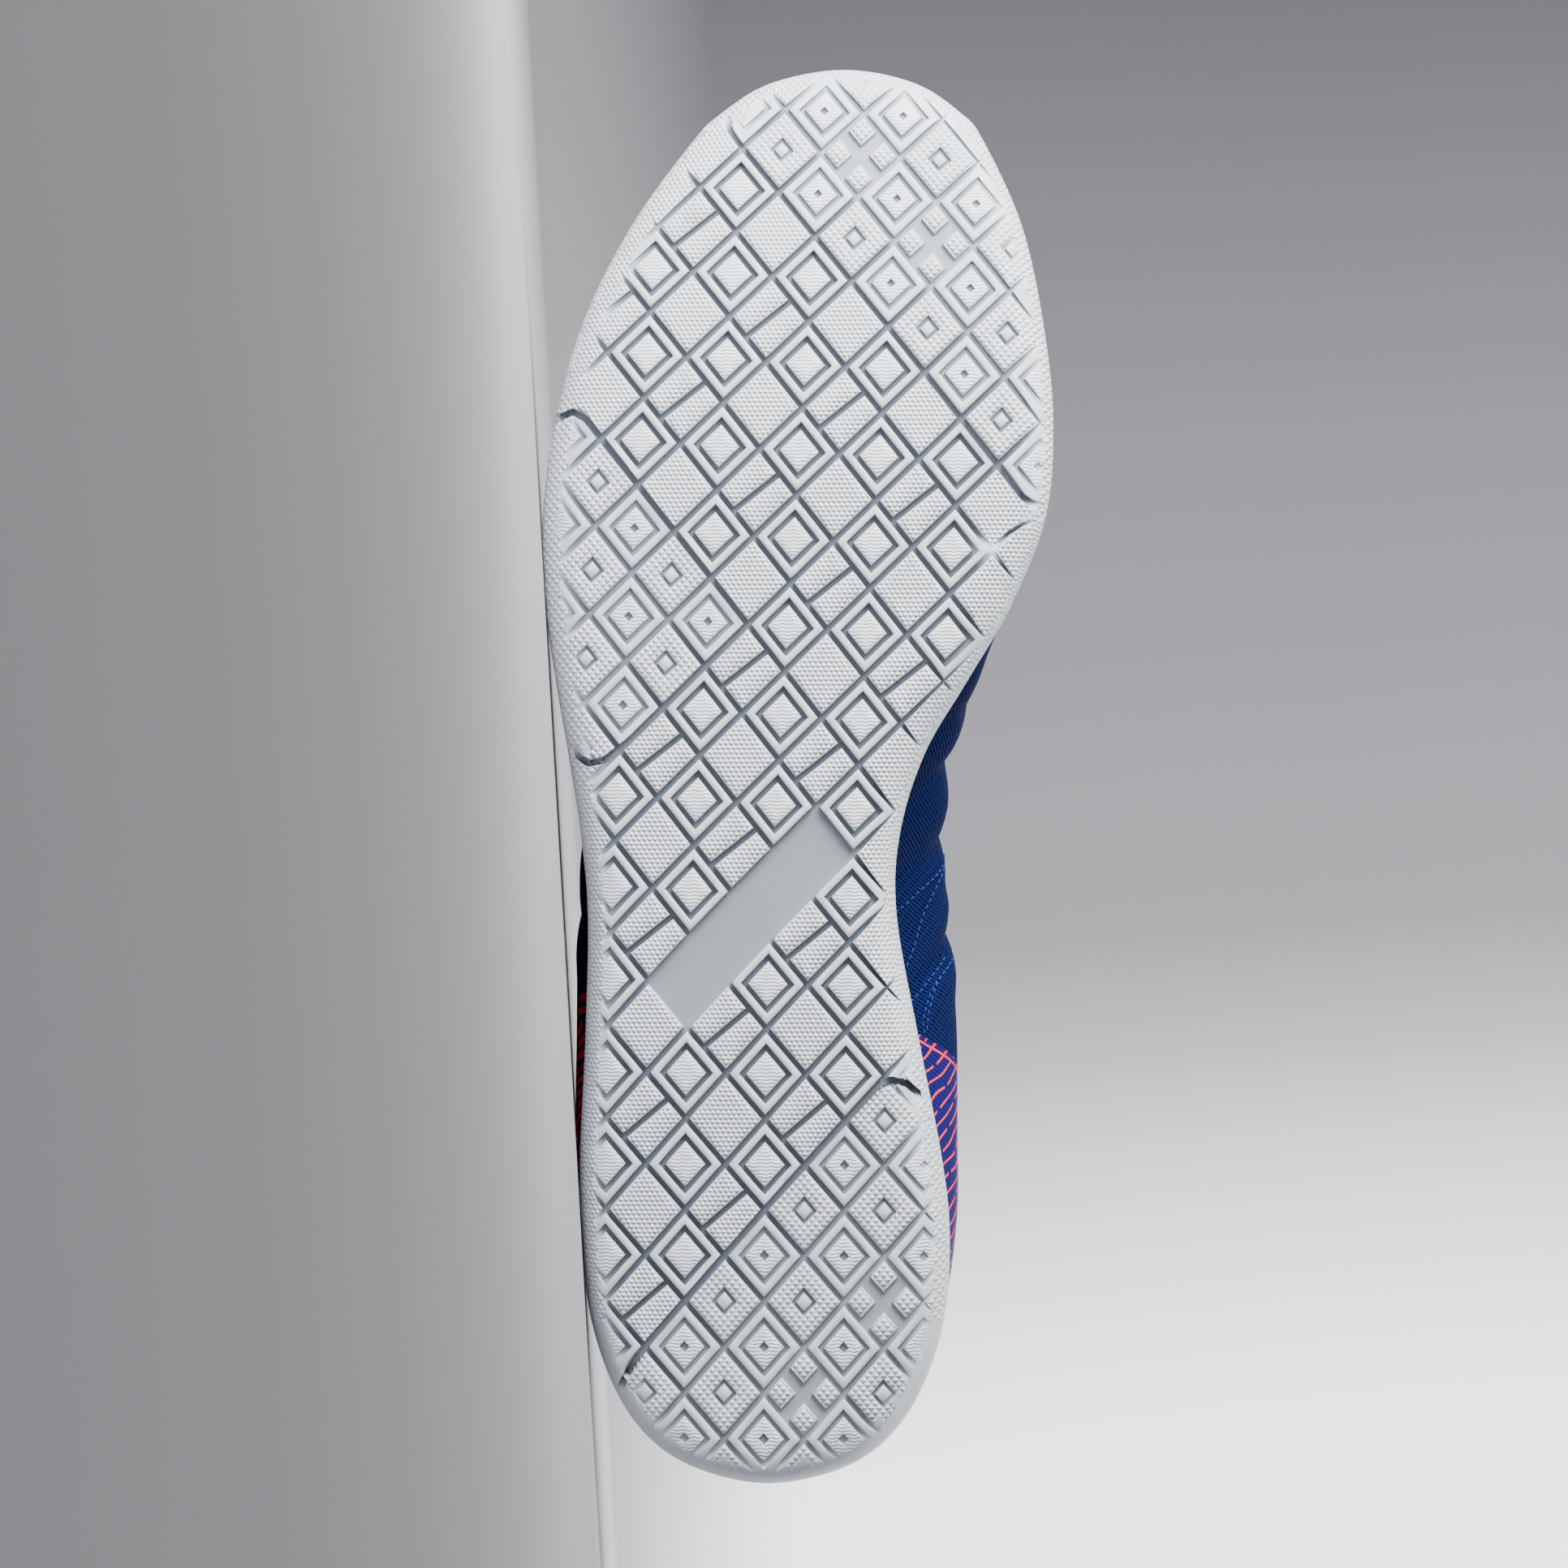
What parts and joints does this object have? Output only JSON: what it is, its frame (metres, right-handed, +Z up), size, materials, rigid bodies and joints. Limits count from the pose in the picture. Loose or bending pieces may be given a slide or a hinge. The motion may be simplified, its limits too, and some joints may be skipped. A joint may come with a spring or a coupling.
{
  "type": "indoor soccer shoe",
  "caption": "Low laced court shoe for a right foot: white cup sole with a diamond tread, blue fabric upper, tongue and laces. It lies on its side.",
  "frame": {"origin": "middle of the bounding box's underside, on the floor that the shoe lies on", "axes": "+X towards the toe, +Y towards what the tread faces, +Z up through the shoe's medial side"},
  "size_m": [0.2846, 0.0992, 0.1042],
  "materials": {
    "sole_rubber": "satin moulded rubber",
    "upper_fabric": "coarse woven fabric",
    "lining": "smooth lining fabric",
    "trim": "matte synthetic",
    "lace": "flat woven lace"
  },
  "bodies": {
    "root": {"outsole": "sole_rubber", "insole": "lining", "upper": "upper_fabric", "eyestay": "trim", "tongue": "trim", "lace_bar": "lace", "lace_cross_1": "lace", "lace_cross_2": "lace", "lace_cross_3": "lace", "lace_cross_4": "lace", "lace_cross_5": "lace"}
  },
  "joints": []
}
